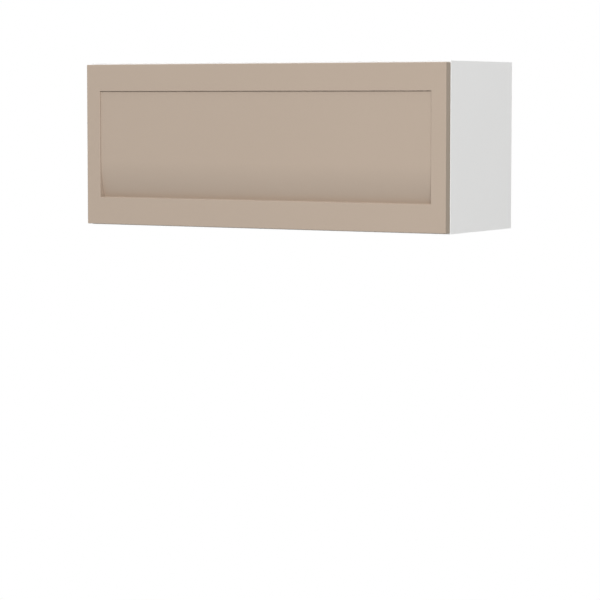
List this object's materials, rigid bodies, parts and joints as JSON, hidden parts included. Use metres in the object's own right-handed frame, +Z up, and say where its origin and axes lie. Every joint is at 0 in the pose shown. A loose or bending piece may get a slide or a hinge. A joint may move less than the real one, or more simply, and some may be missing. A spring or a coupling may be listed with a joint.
{
  "type": "lift up wall cabinet",
  "caption": "Wide wall cabinet with a framed front that swings up on cup hinges, held by spring lift arms, and that hangs from rear hooks.",
  "frame": {"origin": "middle of the underside, half way through the whole depth of carcass and front", "axes": "+X to the viewer's right along the width, +Y towards the wall, +Z up; the front faces -Y"},
  "size_m": [0.9, 0.316, 0.36],
  "materials": {
    "white_board": "white melamine foil on chipboard, satin",
    "edge_band": "white plastic edge band, satin",
    "beige_front": "smooth beige satin foil on fibreboard",
    "nickel_steel": "nickel plated pressed steel",
    "zinc": "zinc, dull",
    "spring_steel": "oiled spring wire",
    "grey_plastic": "light grey moulded plastic, fine grain",
    "bumper": "clear soft bumper pad"
  },
  "bodies": {
    "carcass": {"back_panel": "white_board", "bottom_panel": "white_board", "bumper_pad_left": "bumper", "bumper_pad_right": "bumper", "cam_lock_bottom_left_front": "zinc", "cam_lock_bottom_left_rear": "zinc", "cam_lock_bottom_right_front": "zinc", "cam_lock_bottom_right_rear": "zinc", "cam_lock_top_left_front": "zinc", "cam_lock_top_left_rear": "zinc", "cam_lock_top_right_front": "zinc", "cam_lock_top_right_rear": "zinc", "edge_band_bottom": "edge_band", "edge_band_left": "edge_band", "edge_band_right": "edge_band", "edge_band_top": "edge_band", "hanger_body_left": "grey_plastic", "hanger_body_right": "grey_plastic", "hinge_arm_left": "nickel_steel", "hinge_arm_right": "nickel_steel", "hinge_plate_left": "nickel_steel", "hinge_plate_right": "nickel_steel", "lift_cover_left": "grey_plastic", "lift_cover_right": "grey_plastic", "lift_housing_left": "grey_plastic", "lift_housing_right": "grey_plastic", "lift_spring_left": "spring_steel", "lift_spring_right": "spring_steel", "side_panel_left": "white_board", "side_panel_right": "white_board", "top_panel": "white_board"},
    "hinge_links": {"hinge_outer_link_left": "nickel_steel", "hinge_outer_link_right": "nickel_steel"},
    "front": {"front_centre_panel": "beige_front", "front_rail_bottom": "beige_front", "front_rail_top": "beige_front", "front_stile_left": "beige_front", "front_stile_right": "beige_front", "hinge_cup_left": "nickel_steel", "hinge_cup_right": "nickel_steel", "hinge_screw_left_left": "zinc", "hinge_screw_left_right": "zinc", "hinge_screw_right_left": "zinc", "hinge_screw_right_right": "zinc", "lift_bracket_left": "nickel_steel", "lift_bracket_right": "nickel_steel", "lift_front_pin_left": "zinc", "lift_front_pin_right": "zinc"},
    "inner_links": {"hinge_inner_link_left": "nickel_steel", "hinge_inner_link_right": "nickel_steel"},
    "lift_levers": {"lift_axle_left": "nickel_steel", "lift_axle_right": "nickel_steel", "lift_elbow_pin_left": "zinc", "lift_elbow_pin_right": "zinc", "lift_lever_left": "nickel_steel", "lift_lever_right": "nickel_steel"},
    "lift_links": {"lift_link_left": "nickel_steel", "lift_link_right": "nickel_steel"},
    "hanger_hook_left": {"hanger_hook_left": "nickel_steel"},
    "hanger_hook_right": {"hanger_hook_right": "nickel_steel"}
  },
  "joints": [
    {"name": "hinge_link_turn", "type": "hinge", "parent": "carcass", "child": "hinge_links", "pos_m": [0, -0.135, 0.334], "axis": [1, 0, 0], "range_deg": [0, 40.01]},
    {"name": "front_lift", "type": "hinge", "parent": "hinge_links", "child": "front", "pos_m": [0, -0.141, 0.35], "axis": [-1, 0, 0], "range_deg": [0, 140]},
    {"name": "inner_link_turn", "type": "hinge", "parent": "carcass", "child": "inner_links", "pos_m": [0, -0.12866, 0.32709], "axis": [1, 0, 0], "range_deg": [0, 11.35]},
    {"name": "lift_lever_swing", "type": "hinge", "parent": "carcass", "child": "lift_levers", "pos_m": [0, -0.08298, 0.27322], "axis": [-1, 0, 0], "range_deg": [0, 100.01]},
    {"name": "lift_link_turn", "type": "hinge", "parent": "lift_levers", "child": "lift_links", "pos_m": [0, -0.06498, 0.17322], "axis": [1, 0, 0], "range_deg": [0, 106.97]},
    {"name": "hook_height_left", "type": "slide", "parent": "carcass", "child": "hanger_hook_left", "axis": [0, 0, 1], "range_m": [-0.004, 0.004]},
    {"name": "hook_height_right", "type": "slide", "parent": "carcass", "child": "hanger_hook_right", "axis": [0, 0, 1], "range_m": [-0.004, 0.004]}
  ],
  "couplings": [
    {"joint": "hinge_link_turn", "follows": "front_lift", "ratio": 0.28571},
    {"joint": "inner_link_turn", "follows": "front_lift", "ratio": 0.081011},
    {"joint": "lift_lever_swing", "follows": "front_lift", "ratio": 0.71429},
    {"joint": "lift_link_turn", "follows": "front_lift", "ratio": 0.76402}
  ]
}
